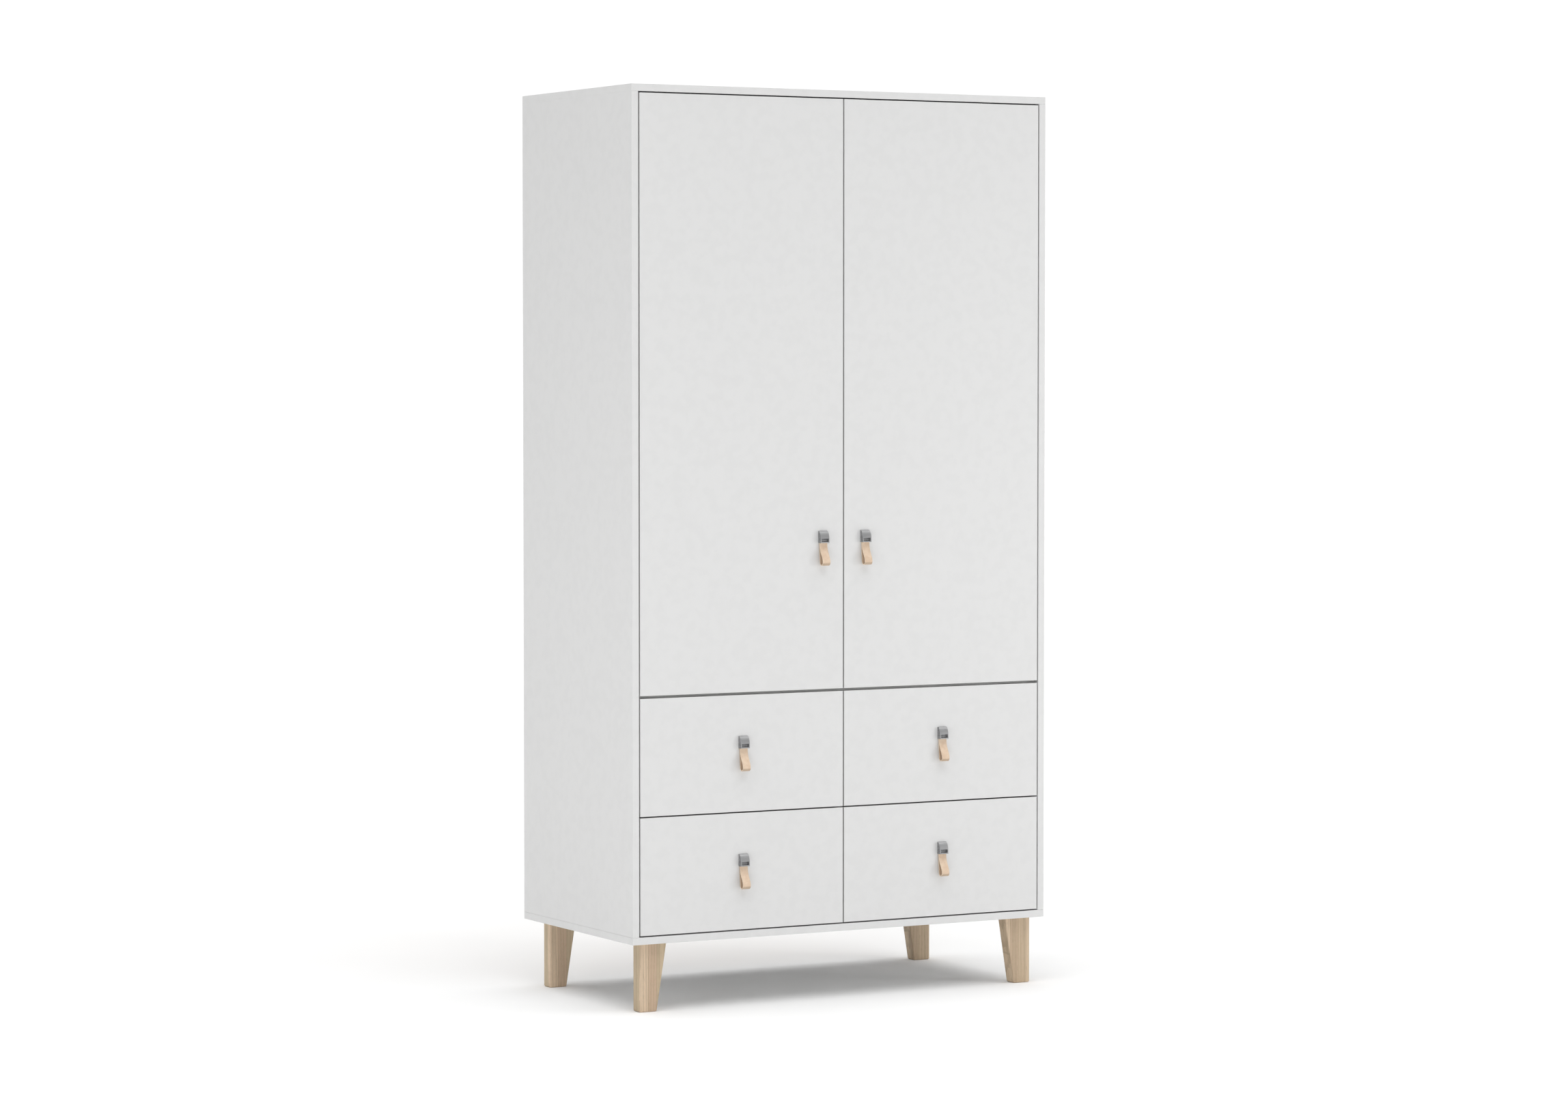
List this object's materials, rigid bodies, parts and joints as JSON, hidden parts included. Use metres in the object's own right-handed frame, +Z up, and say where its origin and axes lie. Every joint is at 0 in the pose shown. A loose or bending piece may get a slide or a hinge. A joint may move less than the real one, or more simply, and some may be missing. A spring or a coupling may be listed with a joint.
{
  "type": "wardrobe",
  "caption": "Free-standing wardrobe with inset hinged doors above pull-out drawers, leather loop pulls and tapered wooden legs.",
  "frame": {"origin": "on the floor, under the centre of the whole wardrobe's bounding box with its handles", "axes": "+Z up, the doors and drawers face -Y, +X to the right seen from the front"},
  "size_m": [1.05, 0.559, 2.01],
  "materials": {
    "white_board": "satin white foil on board",
    "white_front": "satin white foil on board",
    "white_inner_board": "matt white melamine",
    "white_hardboard": "matt white paint on hardboard",
    "oak": "oiled light oak",
    "leather": "natural vegetable-tanned",
    "cap_metal": "satin grey",
    "hinge_metal": "nickel plated",
    "runner_metal": "zinc plated",
    "rail_metal": "polished",
    "rail_socket_metal": "nickel plated",
    "zinc_screws": "zinc plated",
    "zinc_bracket": "zinc plated",
    "cam_metal": "die-cast zinc"
  },
  "bodies": {
    "carcass": {"top_panel": "white_board", "bottom_panel": "white_board", "left_side_panel": "white_board", "right_side_panel": "white_board", "middle_shelf": "white_inner_board", "drawer_divider": "white_inner_board", "hat_shelf": "white_inner_board", "upper_back_panel": "white_hardboard", "lower_back_panel": "white_hardboard", "hanging_rail": "rail_metal", "rail_sockets": "rail_socket_metal", "front_left_leg": "oak", "front_right_leg": "oak", "rear_left_leg": "oak", "rear_right_leg": "oak", "leg_screws": "zinc_screws", "cam_fasteners": "cam_metal", "hinge_arms": "hinge_metal", "cabinet_runners": "runner_metal", "wall_brackets": "zinc_bracket"},
    "left_door": {"left_door_panel": "white_front", "left_door_hinge_cups": "hinge_metal", "left_door_handle_cap": "cap_metal", "left_door_handle_strap": "leather"},
    "right_door": {"right_door_panel": "white_front", "right_door_hinge_cups": "hinge_metal", "right_door_handle_cap": "cap_metal", "right_door_handle_strap": "leather"},
    "lower_left_drawer": {"lower_left_drawer_front": "white_front", "lower_left_drawer_left_side": "white_inner_board", "lower_left_drawer_right_side": "white_inner_board", "lower_left_drawer_back": "white_inner_board", "lower_left_drawer_bottom": "white_hardboard", "lower_left_drawer_runners": "runner_metal", "lower_left_drawer_handle_cap": "cap_metal", "lower_left_drawer_handle_strap": "leather"},
    "lower_right_drawer": {"lower_right_drawer_front": "white_front", "lower_right_drawer_left_side": "white_inner_board", "lower_right_drawer_right_side": "white_inner_board", "lower_right_drawer_back": "white_inner_board", "lower_right_drawer_bottom": "white_hardboard", "lower_right_drawer_runners": "runner_metal", "lower_right_drawer_handle_cap": "cap_metal", "lower_right_drawer_handle_strap": "leather"},
    "upper_left_drawer": {"upper_left_drawer_front": "white_front", "upper_left_drawer_left_side": "white_inner_board", "upper_left_drawer_right_side": "white_inner_board", "upper_left_drawer_back": "white_inner_board", "upper_left_drawer_bottom": "white_hardboard", "upper_left_drawer_runners": "runner_metal", "upper_left_drawer_handle_cap": "cap_metal", "upper_left_drawer_handle_strap": "leather"},
    "upper_right_drawer": {"upper_right_drawer_front": "white_front", "upper_right_drawer_left_side": "white_inner_board", "upper_right_drawer_right_side": "white_inner_board", "upper_right_drawer_back": "white_inner_board", "upper_right_drawer_bottom": "white_hardboard", "upper_right_drawer_runners": "runner_metal", "upper_right_drawer_handle_cap": "cap_metal", "upper_right_drawer_handle_strap": "leather"}
  },
  "joints": [
    {"name": "left_door_hinge", "type": "hinge", "parent": "carcass", "child": "left_door", "pos_m": [-0.508, -0.2605, 1.3405], "axis": [0, 0, -1], "range_deg": [0, 100]},
    {"name": "right_door_hinge", "type": "hinge", "parent": "carcass", "child": "right_door", "pos_m": [0.508, -0.2605, 1.3405], "axis": [0, 0, 1], "range_deg": [0, 100]},
    {"name": "lower_left_drawer_slide", "type": "slide", "parent": "carcass", "child": "lower_left_drawer", "axis": [0, -1, 0], "range_m": [0, 0.34]},
    {"name": "lower_right_drawer_slide", "type": "slide", "parent": "carcass", "child": "lower_right_drawer", "axis": [0, -1, 0], "range_m": [0, 0.34]},
    {"name": "upper_left_drawer_slide", "type": "slide", "parent": "carcass", "child": "upper_left_drawer", "axis": [0, -1, 0], "range_m": [0, 0.34]},
    {"name": "upper_right_drawer_slide", "type": "slide", "parent": "carcass", "child": "upper_right_drawer", "axis": [0, -1, 0], "range_m": [0, 0.34]}
  ]
}
